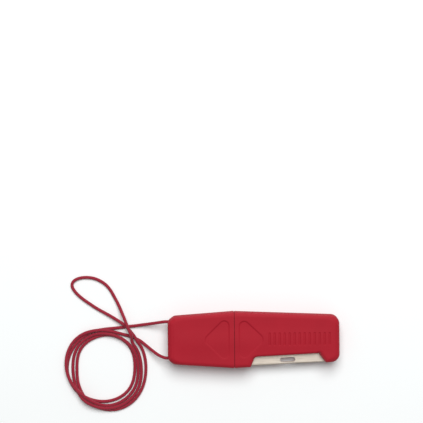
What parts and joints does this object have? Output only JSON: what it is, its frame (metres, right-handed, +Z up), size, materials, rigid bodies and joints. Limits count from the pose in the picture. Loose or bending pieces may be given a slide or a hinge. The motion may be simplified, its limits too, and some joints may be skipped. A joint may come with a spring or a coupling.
{
  "type": "fire starter",
  "caption": "Pocket fire starter: ferrocerium rod on a moulded handle, slide-off sheath with a steel striker blade in a window, and a coiled cord lanyard.",
  "frame": {"origin": "centre of the case's underside, the surface it lies on, with the cord left out", "axes": "+X from the handle to the sheath along the rod, +Y towards the long edge opposite the striker window, +Z up, away from the surface it lies on"},
  "size_m": [0.1613, 0.0797, 0.015],
  "materials": {
    "case_plastic": "soft-touch moulded red with a fine grain",
    "collar_plastic": "plain moulded red",
    "ferrocerium": "dull dark grey with fine scrape marks",
    "striker_steel": "bright stamped steel with a light lengthwise grain",
    "lanyard_cord": "braided crimson cord"
  },
  "bodies": {
    "handle": {"handle_top_shell": "case_plastic", "handle_bottom_shell": "case_plastic", "rod_collar": "collar_plastic", "ferro_rod": "ferrocerium", "lanyard_knot": "lanyard_cord", "lanyard_lead_upper": "lanyard_cord", "lanyard_lead_lower": "lanyard_cord", "lanyard_bight": "lanyard_cord", "lanyard_coil": "lanyard_cord"},
    "sheath": {"sheath_top_shell": "case_plastic", "sheath_bottom_shell": "case_plastic", "striker_blade": "striker_steel"}
  },
  "joints": [
    {"name": "sheath_pull", "type": "slide", "parent": "handle", "child": "sheath", "axis": [1, 0, 0], "range_m": [0, 0.055]}
  ]
}
